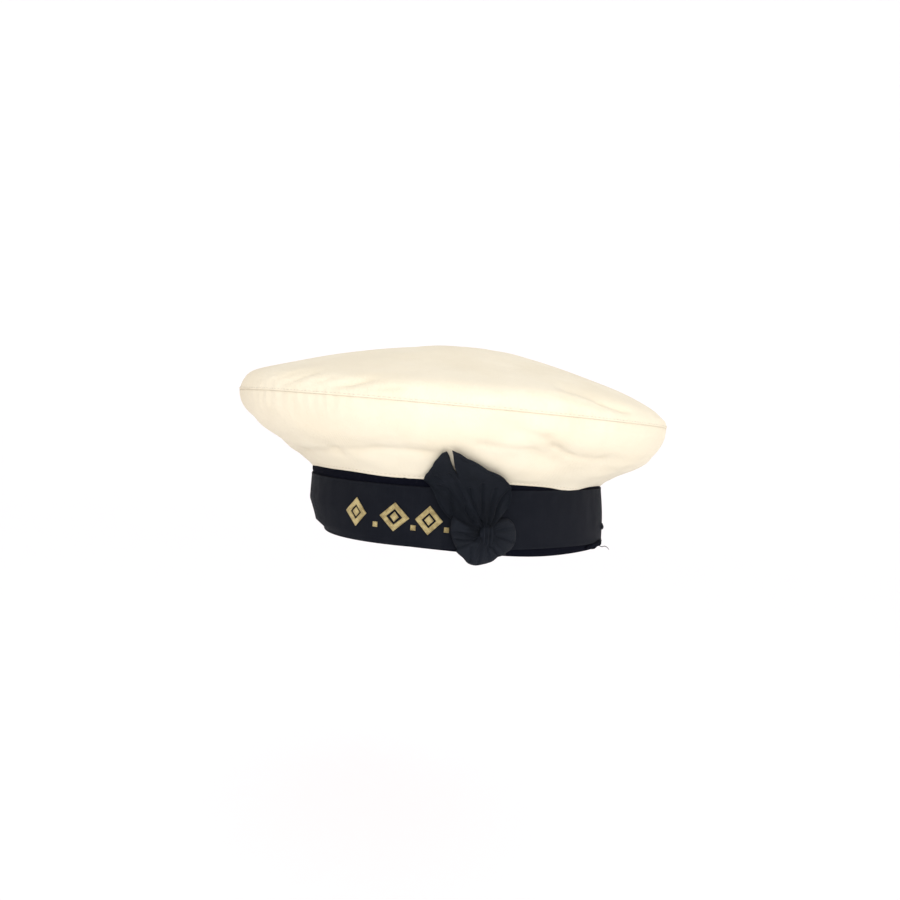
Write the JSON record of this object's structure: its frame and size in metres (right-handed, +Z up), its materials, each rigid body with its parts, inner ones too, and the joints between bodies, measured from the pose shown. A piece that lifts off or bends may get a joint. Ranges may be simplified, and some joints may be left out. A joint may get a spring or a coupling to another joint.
{
  "type": "sailor cap",
  "caption": "Sailor cap with a soft white crown, a domed top panel and a flared side, a dark cloth band, and a silk ribbon tied in a small bow at the wearer's left.",
  "frame": {"origin": "middle of the head opening, in the plane of the rim", "axes": "+Z up through the crown, -Y is the front of the cap, +X is the wearer's left"},
  "size_m": [0.258, 0.2724, 0.1212],
  "materials": {
    "duck": "off-white cotton duck, plain weave, matt, slightly yellowed along its seams",
    "serge": "near-black navy wool cloth, matt",
    "silk": "blue-black ribbed silk ribbon with a soft sheen"
  },
  "bodies": {
    "root": {"crown_top": "duck", "crown_side": "duck", "head_band": "serge", "tally_ribbon": "silk", "bow_tail_left": "silk", "bow_tail_right": "silk", "bow_loop_left": "silk", "bow_loop_bottom": "silk", "bow_loop_right": "silk", "bow_knot": "silk"}
  },
  "joints": []
}
